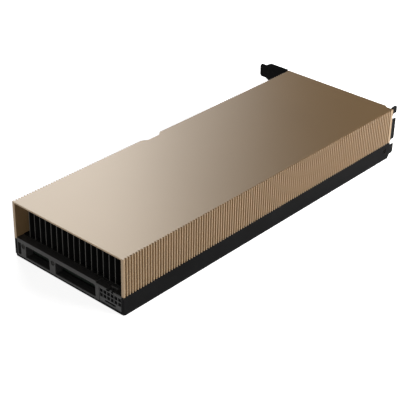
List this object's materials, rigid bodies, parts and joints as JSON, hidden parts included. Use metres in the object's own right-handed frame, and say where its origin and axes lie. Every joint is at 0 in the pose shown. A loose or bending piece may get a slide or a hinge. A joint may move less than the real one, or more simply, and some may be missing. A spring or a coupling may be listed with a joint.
{
  "type": "passive accelerator card",
  "caption": "Flat dual-slot server accelerator card with a ribbed metal cover, open finned air duct, black base and slotted bracket.",
  "frame": {"origin": "middle of the backplate's underside", "axes": "+X from the rear end to the bracket, -Y to the card's plain top edge, +Y to the edge connector, +Z from the backplate to the cover"},
  "size_m": [0.2737, 0.1209, 0.0394],
  "materials": {
    "shroud_metal": "anodised, satin",
    "black_frame": "fine matt coat",
    "black_sheet": "fine matt coat",
    "dark_film": "smooth",
    "board": "solder mask",
    "gold_plating": "plated",
    "heatsink_metal": "black coat",
    "fin_metal": "black coat",
    "substrate": "laminate",
    "silicon": "polished",
    "nickel_plate": "nickel plated",
    "paste": "grey paste",
    "ferrite": "pressed powder",
    "chip_plastic": "moulded",
    "pad": "soft pad",
    "can_metal": "bare can",
    "spring_steel": "plain",
    "black_screw": "black oxide",
    "steel_screw": "plain",
    "insert_metal": "turned",
    "header_plastic": "moulded",
    "bracket_steel": "black coat"
  },
  "bodies": {
    "root": {"shroud": "shroud_metal", "base_frame": "black_frame", "rear_bar": "black_frame", "backplate": "black_sheet", "insulating_film": "dark_film", "circuit_board": "board", "edge_contacts": "gold_plating", "heatsink_base": "heatsink_metal", "package_substrate": "substrate", "processor_die": "silicon", "memory_stacks": "silicon", "package_stiffener": "nickel_plate", "thermal_paste": "paste", "inductors": "ferrite", "power_stages": "chip_plastic", "thermal_pads": "pad", "capacitors": "can_metal", "controller_chips": "chip_plastic", "retention_plate": "spring_steel", "long_screws": "black_screw", "rear_bar_screws": "black_screw", "retention_screws": "steel_screw", "bracket_screws": "black_screw", "rear_thread_inserts": "insert_metal", "side_thread_insert": "insert_metal", "power_header": "header_plastic", "power_contacts": "gold_plating", "sense_contacts": "gold_plating", "bracket": "bracket_steel", "fin_01": "fin_metal", "fin_02": "fin_metal", "fin_03": "fin_metal", "fin_04": "fin_metal", "fin_05": "fin_metal", "fin_06": "fin_metal", "fin_07": "fin_metal", "fin_08": "fin_metal", "fin_09": "fin_metal", "fin_10": "fin_metal", "fin_11": "fin_metal", "fin_12": "fin_metal", "fin_13": "fin_metal", "fin_14": "fin_metal", "fin_15": "fin_metal", "fin_16": "fin_metal", "fin_17": "fin_metal"}
  },
  "joints": []
}
